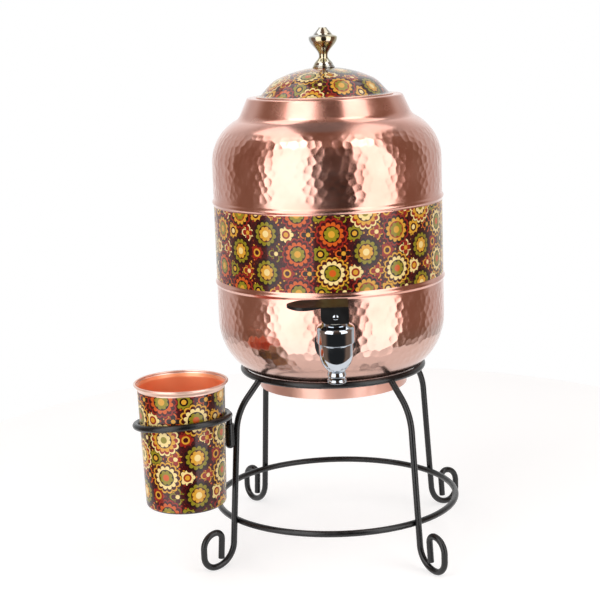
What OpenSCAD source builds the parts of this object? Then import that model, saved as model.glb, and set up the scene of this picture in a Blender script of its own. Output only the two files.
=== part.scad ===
// Copper water dispenser: a lidded pot with a lever tap, on a wire stand that also carries a tumbler.
// Millimetres, +Z up. The origin is on the floor, on the stand's axis, and the tap points along -Y.

/* [Stand] */
// Diameter of the stand's round wire
wire_d = 5; // [4:0.5:7]
// Radius of the top ring, to the middle of its wire
top_ring_r = 73; // [68:0.5:80]
// Height of the top ring, to the middle of its wire
top_ring_z = 146.5; // [130:0.5:180]
// Height of the base ring, to the middle of its wire
base_ring_z = 35.3; // [28:0.1:60]
// Turn of the legs about the stand's axis, counted from the tap
stand_turn = -8.7; // [-20:0.1:20]
// Slope of a leg where it leaves the top ring, from straight down
leg_rake = 45; // [35:1:55]
// Straight length of a leg below the top ring
leg_neck = 16; // [12:0.5:25]
// Bend radius between a leg's neck and its upright
leg_bend_r = 40; // [25:1:50]
// Outward lean of a leg's upright
leg_lean = 4.5; // [1:0.5:8]
// How far welded wires run into each other
weld_bite = 0.3; // [0.1:0.1:0.6]

/* [Scroll feet] */
// Bend radius from the upright to the floor
foot_sweep_r = 18; // [12:0.5:22]
// Bend radius from the floor up the outer side
foot_outer_r = 10.5; // [9:0.5:14]
// Straight rise of the outer side
foot_rise = 6; // [2:0.5:10]
// Bend radius over the top of the scroll
foot_top_r = 11.5; // [9:0.5:13]
// Bend radius of the inner curl
foot_curl_r = 5.6; // [4.5:0.1:7]
// Length of the tail inside the scroll
foot_tail = 16; // [8:0.5:18]
// Outward lean of the tail
foot_tail_lean = 4.3; // [0:0.1:8]
// Depth of the flat under each foot
foot_flat = 0.3; // [0.2:0.1:0.6]

/* [Tumbler holder] */
// Diameter of the holder's wire
holder_wire_d = 5; // [4:0.5:7]
// Height of the holder's tail, to the middle of its wire
holder_z = 127; // [118:0.5:135]
// Twist of the ring about the tail, which lifts its front
holder_twist = 6.5; // [0:0.5:8]
// Distance from the hinge pin to the ring's wire
holder_reach = 6.5; // [6.5:0.5:14]
// Bend radius between the ring's tail and the hinge pin
holder_bend_r = 5; // [4:0.5:6]
// Clearance between the ring and the tumbler
holder_gap = 0.3; // [0.2:0.05:0.6]
// Radial running clearance of the hinge pin
hinge_gap = 0.06; // [0.03:0.01:0.1]
// Wall of the hinge socket
socket_wall = 1.2; // [0.8:0.1:2]
// Length of the hinge socket
socket_h = 17; // [12:0.5:20]
// Thickness of the socket's floor
socket_floor = 2; // [1:0.5:3]
// Height of the socket's top below the middle of the tail
socket_drop = 11; // [8:0.5:14]
// Depth of the dome under the socket
socket_dome_h = 3; // [2:0.1:4]

/* [Tumbler] */
// Height of the tumbler's base above the floor
tumbler_z = 61; // [45:0.5:70]
// Height of the tumbler
tumbler_h = 97; // [85:0.5:110]
// Outer radius at the base
tumbler_base_r = 30.9; // [26:0.1:32]
// Outer radius under the lip
tumbler_top_r = 33.5; // [32.5:0.1:36]
// Flare of the lip past the body
tumbler_flare = 2.2; // [1:0.1:4]
// Height of the flared lip
tumbler_lip_h = 5; // [3:0.5:8]
// Radius of the rolled edge
tumbler_roll_r = 0.9; // [0.6:0.1:1.2]
// Wall of the tumbler
tumbler_wall = 0.9; // [0.6:0.1:1.2]
// Radius of the base's edge
tumbler_edge_r = 3; // [2:0.5:5]

/* [Pot] */
// Outer radius of the straight side
body_r = 91.5; // [86:0.5:96]
// Height of the straight side
body_h = 126; // [110:1:150]
// Sheet thickness
pot_wall = 1.2; // [0.8:0.1:1.6]
// Radius of the curve under the straight side
bowl_r = 49; // [44:0.5:55]
// Clearance between the bowl and the top ring
seat_gap = 0.3; // [0.2:0.05:0.5]
// Radius of the shoulder
shoulder_r = 35; // [30:0.5:40]
// Angle that the shoulder turns through
shoulder_sweep = 52; // [46:1:56]
// Radius of the hollow curve of the neck
neck_r = 53; // [45:0.5:60]
// Angle that the neck turns back through
neck_turn = 30; // [24:1:34]
// Radius of the rim's corner
rim_round = 2; // [1.8:0.1:3]
// Radius of the mouth
mouth_r = 49.5; // [44:0.5:52]
// Height of the lower bead above the bowl
bead_low = 32.3; // [28:0.1:45]
// Height of the upper bead above the bowl
bead_high = 95.6; // [80:0.1:105]
// Radius of a bead's section
bead_r = 2.4; // [1.5:0.1:3]
// How far a bead stands out of the side
bead_out = 1.3; // [0.6:0.1:1.5]
// Outer radius of the foot
foot_r = 60; // [54:0.5:64]
// Depth of the foot below the bowl's bottom
foot_h = 7.1; // [5:0.1:12]
// Widening of the foot from its edge to the bowl
foot_flare = 1; // [0:0.1:3]
// Depth of the base pan's seam below the straight side
base_seam = 22; // [20:0.5:26]

/* [Lid] */
// Sheet thickness of the lid
lid_wall = 1; // [0.8:0.1:1.5]
// Radius of the flange
lid_flange_r = 54.5; // [52.5:0.5:58]
// Clearance between the lid's lip and the mouth
lid_gap = 0.5; // [0.3:0.1:1]
// Depth of the lip inside the mouth
lid_lip_h = 8; // [5:0.5:12]
// Radius of the dome's side
dome_side_r = 23; // [18:0.5:26]
// Lean of the dome's side where it leaves the flange
dome_lean = 20; // [10:1:25]
// Lean of the dome where the side meets the crown
crown_lean = 65; // [60:1:70]
// Radius of the flat land under the knob
knob_land_r = 9; // [8.5:0.1:11]

/* [Knob] */
// Radius of the knob's foot
knob_foot_r = 8; // [7:0.1:8.4]
// Height of the knob's foot
knob_foot_h = 1.5; // [1:0.1:2.5]
// Radius of the waist
knob_waist_r = 3.6; // [3.4:0.1:4.5]
// Radius of the belly
knob_belly_r = 11.1; // [9:0.1:13]
// Radius of the bud on top
knob_bud_r = 5.3; // [4:0.1:6.5]
// Height of the waist above the foot's underside
knob_waist_h = 9.6; // [8:0.1:11]
// Height of the belly above the foot's underside
knob_belly_h = 22.4; // [19:0.1:24]
// Height of the bud's neck above the foot's underside
knob_neck_h = 27; // [25.5:0.1:28]
// Height of the whole knob
knob_h = 31.4; // [30:0.1:36]
// Diameter of the screw that holds the knob
knob_screw_d = 4; // [3:0.5:4.5]
// Depth of the screw's hole in the knob
knob_screw_depth = 8; // [6:0.5:12]
// Diameter of the screw's head
knob_screw_head_d = 8; // [6:0.5:9]
// Height of the screw's head
knob_screw_head_h = 3; // [2:0.5:4]
// Diameter of the washer under the lid
knob_washer_d = 14; // [12:0.5:18]
// Thickness of the washer under the lid
knob_washer_t = 1; // [0.6:0.1:2]
// Radial clearance round the screw
screw_gap = 0.2; // [0.1:0.05:0.4]

/* [Tap body] */
// Height of the tap's shank below the pot's straight side
shank_drop = 4; // [0:0.5:8]
// Forward tip of the tap, square to the curving wall
tap_tilt = 6; // [0:0.5:8]
// Distance from the pot's wall to the stem's axis
tap_reach = 38; // [36:0.5:45]
// Diameter of the shank
shank_d = 14.4; // [12:0.1:16]
// Diameter of the shank's bore
shank_bore_d = 8; // [6:0.1:8.4]
// Clearance round the shank in the pot's wall
shank_gap = 0.4; // [0.2:0.1:0.8]
// Diameter of the flange against the gasket
flange_d = 25; // [22:0.5:28]
// Thickness of the flange
flange_t = 3; // [2:0.5:4]
// Diameter of the barrel
barrel_d = 24.8; // [24.4:0.1:27]
// Diameter of the barrel's threaded top
spigot_d = 22; // [20:0.1:23]
// Height of the barrel's shoulder above the shank's axis
barrel_top = 13; // [11:0.5:14]
// Length of the barrel's threaded top
spigot_h = 7; // [5:0.5:9]
// Diameter of the valve chamber
chamber_d = 14; // [13.2:0.1:15]
// Depth of the valve seat below the shank's axis
seat_drop = 4.5; // [4.3:0.1:5]
// Diameter of the nozzle
nozzle_d = 12.6; // [11.5:0.1:14]
// Diameter of the nozzle's bore
nozzle_bore_d = 8.4; // [7:0.1:9]
// Depth of the nozzle's end below the shank's axis
nozzle_drop = 17.4; // [16:0.1:22]
// Height of the ring round the nozzle's top
nozzle_ring_h = 3; // [2:0.1:4]
// How far the nozzle's rings stand out
nozzle_ring_out = 0.7; // [0.4:0.1:1]
// Height of the lip round the nozzle's end
nozzle_lip_h = 1.6; // [1:0.1:2]
// Height over which the barrel narrows to the nozzle
barrel_taper_h = 11.8; // [10:0.1:12]

/* [Tap fixing] */
// Diameter of the outer gasket
outer_gasket_d = 30.5; // [28:0.5:34]
// Thickness of the outer gasket where it is thinnest
outer_gasket_t = 2.5; // [2:0.1:4]
// Thickness of the inner gasket where it is thickest
inner_gasket_t = 3; // [2.5:0.1:4]
// Diameter of the inner gasket
inner_gasket_d = 24; // [20:0.5:26]
// Width of the nut across its flats
nut_flats = 22; // [20:0.5:26]
// Thickness of the nut
nut_t = 6; // [4:0.5:8]
// Length of shank past the nut
shank_tail = 2; // [1:0.5:4]
// Radial clearance in a screwed joint
thread_gap = 0.05; // [0.03:0.01:0.1]

/* [Tap bonnet] */
// Diameter of the bonnet
bonnet_d = 27.8; // [26.5:0.1:30]
// Height of the bonnet's straight side
bonnet_h = 13; // [12:0.1:14]
// Seam between the bonnet and the barrel
bonnet_seam = 0.3; // [0.2:0.1:0.6]
// Radius of the bonnet's lower edge
bonnet_edge = 1; // [0.5:0.1:1.5]
// Radius of the bonnet's upper edge
bonnet_round = 3; // [2:0.1:4]
// Height of the bonnet's cone
cone_h = 1; // [0.8:0.1:2]
// Diameter of the cone's top
cone_d = 20; // [18.5:0.1:22]
// Diameter of the collar under the lever
collar_d = 18; // [16:0.1:18.4]
// Height of the collar under the lever
collar_h = 2; // [1.5:0.1:3]
// Thickness of the bonnet's seal
bonnet_seal_t = 1; // [0.8:0.1:1.5]
// Height of the bonnet's ceiling above its seal
ceiling_rise = 3; // [2:0.1:4]
// Thickness of the ring that seals the stem
stem_seal_t = 1.8; // [1.4:0.1:2.2]

/* [Valve and lever] */
// Diameter of the stem
stem_d = 7; // [6:0.1:7.4]
// Radial running clearance round the stem
stem_gap = 0.06; // [0.03:0.01:0.1]
// Diameter of the stem's foot
stem_foot_d = 12; // [11:0.1:12.4]
// Thickness of the stem's foot
stem_foot_t = 2.5; // [2:0.1:3.5]
// Diameter of the spigot that holds the valve seal
seal_spigot_d = 3; // [2.5:0.1:4]
// Thickness of the valve seal
valve_seal_t = 1.5; // [1.2:0.1:2.5]
// Diameter of the spring's wire
spring_wire_d = 0.9; // [0.6:0.1:1]
// Turns of the spring
spring_turns = 7; // [4:1:8]
// End clearance of the spring
spring_gap = 0.1; // [0.05:0.05:0.2]
// Thickness of the washer that the lever rides on
thrust_washer_t = 1; // [0.8:0.1:1.5]
// Diameter of the lever's pin
pin_d = 4; // [3:0.1:4.4]
// Height of the pin's domed ends
pin_dome = 0.6; // [0.3:0.1:0.8]
// Radial running clearance of the pin in the stem
pin_gap = 0.05; // [0.03:0.01:0.1]
// Height of the pin above the washer, which is also the radius of the lever's cam
pin_rise = 5; // [4.5:0.1:6]
// Height of the stem above its pin
stem_head_h = 4.2; // [3.5:0.1:4.6]
// Distance from the pin to the middle of the cam, so the stem rises this much per radian
cam_offset = 5.6; // [4.5:0.1:6.5]
// Length of the lever's head on the side away from the paddle
head_back = 9.6; // [7.5:0.1:10]
// Depth of the lever's head from front to back
head_depth = 22; // [20:0.5:26]
// Height of the lever's head
head_h = 12.7; // [12.5:0.1:15]
// Clearance between the lever's slot and the stem
slot_gap = 0.35; // [0.3:0.05:0.6]
// Distance from the stem's axis to the paddle's tip
paddle_reach = 35; // [30:0.5:42]
// Width of the paddle
paddle_w = 20; // [16:0.5:22]
// Radius of the paddle's tip
paddle_tip_r = 6; // [4:0.5:8]
// Thickness of the paddle in its middle
paddle_t = 3.4; // [2.8:0.1:4.5]
// Depth of the thumb dish in the paddle
dish_depth = 0.8; // [0.4:0.1:1.2]
// Radius of the ball that shapes the dish and the paddle's underside
dish_r = 50; // [40:1:80]

/* [Hidden] */
$fn = 64;

// Steps along an outline's arc or blend
arc_steps = 12;
// Overshoot of a cut past the face it opens
cut = 1;
// Stretches of a bent wire stop this far short of each other, and a ball joins them
joint_trim = 0.1;
// The joining ball's extra radius over the wire's
joint_swell = 0.05;

// Stand
wire_r = wire_d / 2;
leg_angle_front_left = stand_turn - 135;
leg_angle_front_right = stand_turn - 45;
leg_angle_back_right = stand_turn + 45;
leg_angle_back_left = stand_turn + 135;
// The leg's axis runs through the top ring's wire, and its end is welded into that wire
leg_start = wire_r - weld_bite;
neck_end_u = top_ring_r + (leg_start + leg_neck) * sin(leg_rake);
neck_end_z = top_ring_z - (leg_start + leg_neck) * cos(leg_rake);
upright_u = neck_end_u + leg_bend_r * (cos(leg_lean) - cos(leg_rake));
upright_z = neck_end_z - leg_bend_r * (sin(leg_rake) - sin(leg_lean));
foot_axis_z = wire_r - foot_flat;
sweep_z = foot_axis_z + foot_sweep_r * (1 - sin(leg_lean));
upright_len = (upright_z - sweep_z) / cos(leg_lean);
// The base ring lies inside the legs and is welded to them
base_ring_r = leg_u(base_ring_z) - (wire_d - weld_bite) / cos(leg_lean);

// Distance of a leg's upright from the stand's axis at a height
function leg_u(z) = upright_u + (upright_z - z) * tan(leg_lean);

// Tumbler and its holder
holder_wire_r = holder_wire_d / 2;
socket_top = holder_z - socket_drop;
socket_base = socket_top - socket_h;
socket_bore_r = holder_wire_r + hinge_gap;
socket_r = socket_bore_r + socket_wall;
socket_dome_r = (pow(socket_r, 2) + pow(socket_dome_h, 2)) / (2 * socket_dome_h);
socket_u = leg_u(socket_base) + wire_r / cos(leg_lean) + socket_r - weld_bite;
lip_z = tumbler_h - tumbler_lip_h;
tumbler_rim_r = tumbler_top_r + tumbler_flare;
tumbler_slope = (tumbler_top_r - tumbler_base_r) / (lip_z - tumbler_edge_r);
held_r = tumbler_base_r + (holder_z - tumbler_z - tumbler_edge_r) * tumbler_slope;
holder_ring_r = (held_r + holder_gap + holder_wire_r)
    / (cos(holder_twist) - tumbler_slope * sin(holder_twist));
tumbler_u = socket_u + holder_reach + holder_ring_r;
holder_pin_len = holder_z - holder_bend_r - socket_base - socket_floor;

// Pot: the bowl's centre stands where its curve rests on the top ring
bowl_u = body_r - bowl_r;
bowl_z = top_ring_z + sqrt(pow(bowl_r + wire_r + seat_gap, 2) - pow(top_ring_r - bowl_u, 2));
shoulder_u = body_r - shoulder_r;
shoulder_z = bowl_z + body_h;
neck_u = shoulder_u + (shoulder_r + neck_r) * cos(shoulder_sweep);
neck_z = shoulder_z + (shoulder_r + neck_r) * sin(shoulder_sweep);
rim_angle = shoulder_sweep - neck_turn;
rim_u = neck_u - (neck_r + rim_round) * cos(rim_angle);
rim_mid_z = neck_z - (neck_r + rim_round) * sin(rim_angle);
rim_z = rim_mid_z + rim_round;
foot_z = bowl_z - bowl_r - foot_h;
// The band's seams lie along the beads' inner edges; the neck is joined where the curve turns hollow
base_seam_z = bowl_z - base_seam;
bead_half = sqrt(pow(bead_r, 2) - pow(bead_r - bead_out, 2));
band_low_z = bowl_z + bead_low + bead_half;
band_high_z = bowl_z + bead_high - bead_half;
neck_seam_z = shoulder_z + shoulder_r * sin(shoulder_sweep);

// Lid
lid_lip_r = mouth_r - lid_gap;
flange_top = rim_z + lid_wall;
dome_u = lid_lip_r - dome_side_r * cos(dome_lean);
dome_z = flange_top - dome_side_r * sin(dome_lean);
crown_r = (dome_u + dome_side_r * cos(crown_lean)) / cos(crown_lean);
crown_z = dome_z + dome_side_r * sin(crown_lean) - crown_r * sin(crown_lean);
land_angle = acos(knob_land_r / crown_r);
land_z = crown_z + crown_r * sin(land_angle);

// Tap, in its own frame: the stem's axis is Z, the shank runs along +Y into the pot
shank_z = bowl_z - shank_drop;
wall_u = bowl_u + sqrt(pow(bowl_r, 2) - pow(shank_drop, 2));
flange_y = tap_reach - outer_gasket_t;
inner_face_y = tap_reach + pot_wall;
nut_y = inner_face_y + inner_gasket_t;
shank_end_y = nut_y + nut_t + shank_tail;
taper_z = -nozzle_drop + nozzle_lip_h + nozzle_ring_h + nozzle_ring_h;
spigot_z = barrel_top + spigot_h;
bonnet_z = barrel_top + bonnet_seam;
bonnet_step = spigot_z + bonnet_seal_t;
ceiling_z = bonnet_step + ceiling_rise;
cone_z = bonnet_z + bonnet_h;
collar_z = cone_z + cone_h;
washer_z = collar_z + collar_h;
lever_z = washer_z + thrust_washer_t;
pin_z = lever_z + pin_rise;
stem_r = stem_d / 2;
stem_bore_r = stem_r + stem_gap;
seal_ring_z = (ceiling_z + washer_z) / 2;
stem_foot_z = valve_seal_t - seat_drop;
spring_z = stem_foot_z + stem_foot_t + spring_gap;
spring_len = ceiling_z - spring_gap - spring_z;
spring_r = (stem_bore_r + chamber_d / 2) / 2;

// Lever
slot_r = norm([stem_r, max(stem_head_h, pin_rise)]) + slot_gap;
lever_top = lever_z + head_h;
head_front = cam_offset + pin_rise;
dish_x = -(paddle_reach + head_front) / 2;

// Points along a round stretch of an outline
function arc(x, z, r, from, to) = [
    for (i = [0 : arc_steps])
        let (a = from + (to - from) * i / arc_steps)
        [x + r * cos(a), z + r * sin(a)]
];

// Points along a smooth S from one radius and height to another
function blend(r0, z0, r1, z1) = [
    for (i = [0 : arc_steps])
        let (t = i / arc_steps)
        [r0 + (r1 - r0) * (1 - cos(180 * t)) / 2, z0 + (z1 - z0) * t]
];

// The pot's side from the middle of its bottom to the edge of its mouth, set in by a thickness
function pot_outline(inset) = concat(
    [[0, bowl_z - bowl_r + inset]],
    arc(bowl_u, bowl_z, bowl_r - inset, -90, 0),
    arc(shoulder_u, shoulder_z, shoulder_r - inset, 0, shoulder_sweep),
    arc(neck_u, neck_z, neck_r + inset, shoulder_sweep + 180, rim_angle + 180),
    arc(rim_u, rim_mid_z, rim_round - inset, rim_angle, 90),
    [[0, rim_z - inset]]
);

// The lid's dome from its flange to the land under the knob, set in by a thickness
function dome_side(inset) = concat(
    arc(dome_u, dome_z, dome_side_r - inset, dome_lean, crown_lean),
    arc(0, crown_z, crown_r - inset, crown_lean, land_angle),
    [[0, land_z - inset]]
);

// The tumbler's side from the middle of its base to its rim, set in by a thickness
function tumbler_side(inset) = concat(
    [[0, inset]],
    arc(tumbler_base_r - tumbler_edge_r, tumbler_edge_r, tumbler_edge_r - inset, -90, 0),
    blend(tumbler_top_r - inset, lip_z, tumbler_rim_r - inset, tumbler_h - tumbler_roll_r)
);

// Points and faces of a round wire wound on a helix that climbs along Z
function coil_points(r, wire, turns, rise, rings, sides) = [
    for (i = [0 : turns * rings])
        let (a = 360 * i / rings, z = wire / 2 + (rise - wire) * i / (turns * rings))
        for (k = [0 : sides - 1])
            let (b = 360 * k / sides, out = r + wire / 2 * cos(b))
            [out * cos(a), out * sin(a), z + wire / 2 * sin(b)]
];
function coil_faces(count, sides) = concat(
    [[for (k = [0 : sides - 1]) k]],
    [
        for (i = [0 : count - 2], k = [0 : sides - 1], half = [0, 1])
            let (a = i * sides + k, b = i * sides + (k + 1) % sides)
            half == 0 ? [a, a + sides, b] : [b, a + sides, b + sides]
    ],
    [[for (k = [sides - 1 : -1 : 0]) (count - 1) * sides + k]]
);

// A bent wire: each step is a straight length [length] or a bend [radius, angle] towards +X
module bent_wire(d, steps, i = 0) {
    if (i < len(steps)) {
        if (i > 0) sphere(d = d + 2 * joint_swell);
        if (len(steps[i]) == 1) {
            translate([0, 0, joint_trim]) cylinder(d = d, h = steps[i][0] - 2 * joint_trim);
            translate([0, 0, steps[i][0]]) bent_wire(d, steps, i + 1);
        } else {
            wire_bend(d, steps[i][0], steps[i][1]) bent_wire(d, steps, i + 1);
        }
    }
}

// One bend of a wire, with what follows it placed at its end
module wire_bend(d, r, angle) {
    side = angle > 0 ? 0 : 180;
    a = abs(angle);
    trim = joint_trim / r * 180 / PI;
    rotate([0, 0, side]) {
        translate([r, 0, 0]) rotate([90, 0, 180]) rotate([0, 0, trim])
            rotate_extrude(angle = a - 2 * trim) translate([r, 0]) circle(d = d);
        translate([r - r * cos(a), 0, r * sin(a)]) rotate([0, a, 0]) rotate([0, 0, -side]) children();
    }
}

// A ring of wire about the Z axis
module wire_ring(r, d) {
    rotate_extrude($fn = 128) translate([r, 0]) circle(d = d);
}

// A tube along Z with a bore right through
module tube(d, bore, h) {
    difference() {
        cylinder(d = d, h = h);
        translate([0, 0, -cut]) cylinder(d = bore, h = h + 2 * cut);
    }
}

// One leg: raked neck, bend, leaning upright and a scroll that stands on a small flat
module leg(angle) {
    color("#1d1e20") rotate([0, 0, angle]) difference() {
        translate([top_ring_r, 0, top_ring_z]) rotate([0, 180 - leg_rake, 0]) translate([0, 0, leg_start])
            bent_wire(wire_d, [
                [leg_neck],
                [leg_bend_r, leg_rake - leg_lean],
                [upright_len],
                [foot_sweep_r, leg_lean - 90],
                [foot_outer_r, -90],
                [foot_rise],
                [foot_top_r, -90],
                [foot_curl_r, -90 - foot_tail_lean],
                [foot_tail]
            ]);
        translate([0, -wire_d, -wire_d]) cube([2 * upright_u, 2 * wire_d, wire_d]);
    }
}

// Places what follows on the tumbler's axis
module at_tumbler() {
    rotate([0, 0, leg_angle_front_left]) translate([tumbler_u, 0, tumbler_z]) children();
}

// Places what follows in the tap's own frame
module at_tap() {
    translate([0, -wall_u - tap_reach * cos(tap_tilt), shank_z - tap_reach * sin(tap_tilt)])
        rotate([tap_tilt, 0, 0]) children();
}

// A round bar along the tap's shank, between two distances from the stem's axis
module shank_bar(d, from, to) {
    translate([0, from, 0]) rotate([-90, 0, 0]) cylinder(d = d, h = to - from);
}

// The space inside the pot's wall, up to the underside of its rim
module pot_cavity() {
    rotate_extrude($fn = 128) polygon(pot_outline(pot_wall));
}

// The pot as if it were solid, without its beads
module pot_solid() {
    rotate_extrude($fn = 128) polygon(pot_outline(0));
}

module top_ring() {
    color("#1d1e20") translate([0, 0, top_ring_z]) wire_ring(top_ring_r, wire_d);
}

module base_ring() {
    color("#1d1e20") translate([0, 0, base_ring_z]) wire_ring(base_ring_r, wire_d);
}

module leg_front_left() {
    leg(leg_angle_front_left);
}

module leg_front_right() {
    leg(leg_angle_front_right);
}

module leg_back_right() {
    leg(leg_angle_back_right);
}

module leg_back_left() {
    leg(leg_angle_back_left);
}

// Blind socket with a domed underside, welded upright to the front left leg
module holder_socket() {
    color("#1d1e20") rotate([0, 0, leg_angle_front_left]) translate([socket_u, 0, socket_base])
        difference() {
            union() {
                cylinder(r = socket_r, h = socket_h);
                intersection() {
                    translate([0, 0, socket_dome_r - socket_dome_h]) sphere(r = socket_dome_r);
                    translate([0, 0, -socket_dome_h]) cylinder(r = socket_r, h = socket_dome_h);
                }
            }
            translate([0, 0, socket_floor]) cylinder(r = socket_bore_r, h = socket_h);
        }
}

// Ring, tail and hinge pin of the holder, bent from one wire
module holder_ring() {
    color("#1d1e20") rotate([0, 0, leg_angle_front_left]) {
        translate([tumbler_u, 0, holder_z]) rotate([holder_twist, 0, 0])
            wire_ring(holder_ring_r, holder_wire_d);
        translate([tumbler_u - holder_ring_r, 0, holder_z]) rotate([0, -90, 0])
            bent_wire(holder_wire_d, [
                [holder_reach - holder_bend_r],
                [holder_bend_r, -90],
                [holder_pin_len]
            ]);
    }
}

// Tapered cup with a flared lip and a rolled edge
module tumbler() {
    color("#b5694a") at_tumbler() {
        rotate_extrude($fn = 96) difference() {
            polygon(concat(tumbler_side(0), [[0, tumbler_h - tumbler_roll_r]]));
            polygon(concat(tumbler_side(tumbler_wall), [[0, tumbler_h - tumbler_roll_r]]));
        }
        translate([0, 0, tumbler_h - tumbler_roll_r])
            wire_ring(tumbler_rim_r - tumbler_wall / 2, 2 * tumbler_roll_r);
    }
}

// The pot's wall between two heights, with its beads and its open mouth
module pot_section(low, high) {
    color("#c98b76") rotate_extrude($fn = 128) intersection() {
        difference() {
            union() {
                polygon(pot_outline(0));
                for (h = [bead_low, bead_high])
                    translate([body_r + bead_out - bead_r, bowl_z + h]) circle(r = bead_r);
            }
            polygon(pot_outline(pot_wall));
            translate([0, rim_z - pot_wall - cut]) square([mouth_r, pot_wall + 2 * cut]);
        }
        translate([0, low]) square([body_r + bead_r, high - low]);
    }
}

// Dished base pan
module pot_base() {
    pot_section(bowl_z - bowl_r, base_seam_z);
}

// Lower side up to its rolled bead, with a hole for the tap
module pot_side() {
    difference() {
        pot_section(base_seam_z, band_low_z);
        at_tap() shank_bar(shank_d + 2 * shank_gap, flange_y, nut_y + nut_t);
    }
}

// Plain band that carries the print, brazed between the beads
module pot_band() {
    pot_section(band_low_z, band_high_z);
}

// Spun shoulder with the upper bead
module pot_shoulder() {
    pot_section(band_high_z, neck_seam_z);
}

// Hollow-curved neck with its turned-in rim
module pot_neck() {
    pot_section(neck_seam_z, rim_z);
}

// Short tapered foot brazed under the bowl, which hangs inside the top ring
module pot_foot() {
    foot_top = bowl_z - bowl_r + 2 * foot_h;
    foot_bore_r = foot_r - pot_wall;
    color("#c98b76") difference() {
        translate([0, 0, foot_z]) cylinder(r1 = foot_r, r2 = foot_r + foot_flare, h = foot_top - foot_z);
        translate([0, 0, foot_z - cut])
            cylinder(r1 = foot_bore_r, r2 = foot_bore_r + foot_flare, h = foot_top - foot_z + 2 * cut);
        pot_solid();
    }
}

// Printed dome that stands on the lid's rim
module lid_dome() {
    color("#b98a5c") difference() {
        rotate_extrude($fn = 128) difference() {
            polygon(concat([[0, flange_top]], dome_side(0)));
            polygon(concat([[0, rim_z]], dome_side(lid_wall)));
        }
        translate([0, 0, crown_z]) cylinder(d = knob_screw_d + 2 * screw_gap, h = 2 * crown_r);
    }
}

// Rim of the lid: a flange that rests on the pot and a lip that drops into the mouth
module lid_rim() {
    lip_base = rim_z - lid_lip_h;
    lip_bore_r = lid_lip_r - lid_wall;
    color("#c98b76") rotate_extrude($fn = 128) polygon([
        [lip_bore_r, lip_base],
        [lid_lip_r, lip_base],
        [lid_lip_r, rim_z],
        [lid_flange_r, rim_z],
        [lid_flange_r, flange_top],
        [lip_bore_r, flange_top]
    ]);
}

// Turned knob: foot, waist, belly and a bud on top, with a tapped hole from below
module lid_knob() {
    bud_h = knob_h - knob_neck_h;
    color("#cfc6ae") translate([0, 0, land_z]) difference() {
        rotate_extrude() polygon(concat(
            [[0, 0], [knob_foot_r, 0], [knob_foot_r, knob_foot_h]],
            blend(knob_foot_r - knob_foot_h / 2, knob_foot_h, knob_waist_r, knob_waist_h),
            blend(knob_waist_r, knob_waist_h, knob_belly_r, knob_belly_h),
            blend(knob_belly_r, knob_belly_h + knob_foot_h, knob_bud_r, knob_neck_h),
            [for (p = arc(0, 0, knob_bud_r, 0, 90)) [p[0], knob_neck_h + p[1] / knob_bud_r * bud_h]]
        ));
        translate([0, 0, -cut]) cylinder(d = knob_screw_d + 2 * thread_gap, h = knob_screw_depth + cut);
    }
}

module knob_washer() {
    color("#b9bcc0") translate([0, 0, land_z - lid_wall - knob_washer_t])
        tube(knob_washer_d, knob_screw_d + 2 * screw_gap, knob_washer_t);
}

// Pan-headed screw from inside the lid, with a cross slot in its head
module knob_screw() {
    head_z = land_z - lid_wall - knob_washer_t - knob_screw_head_h;
    slot_w = knob_screw_head_d / 8;
    screw_top = land_z + knob_screw_depth - cut;
    color("#b9bcc0") difference() {
        union() {
            translate([0, 0, head_z]) cylinder(d = knob_screw_head_d, h = knob_screw_head_h);
            translate([0, 0, head_z]) cylinder(d = knob_screw_d, h = screw_top - head_z);
        }
        for (turn = [0, 90])
            translate([0, 0, head_z]) rotate([0, 0, turn])
                cube([knob_screw_head_d / 2, slot_w, knob_screw_head_h], center = true);
    }
}

// Cast tap: flanged shank, rounded barrel with a threaded top, and a ringed nozzle
module tap_body() {
    nozzle_r = nozzle_d / 2;
    ring_r = nozzle_r + nozzle_ring_out;
    lip_top = -nozzle_drop + nozzle_lip_h;
    egg_sweep = 2 * atan((barrel_d / 2 - nozzle_r) / barrel_taper_h);
    egg_r = barrel_taper_h / sin(egg_sweep);
    color("#d9dde0") at_tap() difference() {
        union() {
            rotate_extrude() polygon(concat(
                [[0, -nozzle_drop], [ring_r, -nozzle_drop], [ring_r, lip_top]],
                blend(nozzle_r, lip_top + nozzle_ring_out, nozzle_r, taper_z - nozzle_ring_h),
                blend(ring_r, taper_z - nozzle_ring_h + nozzle_ring_out, nozzle_r, taper_z),
                arc(barrel_d / 2 - egg_r, taper_z + barrel_taper_h, egg_r, -egg_sweep, 0),
                [
                    [barrel_d / 2, barrel_top], [spigot_d / 2, barrel_top],
                    [spigot_d / 2, spigot_z], [0, spigot_z]
                ]
            ));
            shank_bar(shank_d, 0, shank_end_y);
            shank_bar(flange_d, flange_y - flange_t, flange_y);
        }
        translate([0, 0, -seat_drop]) cylinder(d = chamber_d, h = spigot_z + seat_drop + cut);
        translate([0, 0, -nozzle_drop - cut]) cylinder(d = nozzle_bore_d, h = nozzle_drop);
        shank_bar(shank_bore_d, 0, shank_end_y + cut);
    }
}

// Rubber between the flange and the pot, moulded to the wall
module outer_gasket() {
    color("#232326") difference() {
        at_tap() difference() {
            shank_bar(outer_gasket_d, flange_y, inner_face_y);
            shank_bar(shank_d + 2 * thread_gap, flange_y - cut, inner_face_y + cut);
        }
        pot_solid();
    }
}

// Rubber between the wall and the nut, moulded to the wall
module inner_gasket() {
    color("#232326") intersection() {
        at_tap() difference() {
            shank_bar(inner_gasket_d, tap_reach, nut_y);
            shank_bar(shank_d + 2 * thread_gap, tap_reach - cut, nut_y + cut);
        }
        pot_cavity();
    }
}

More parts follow.
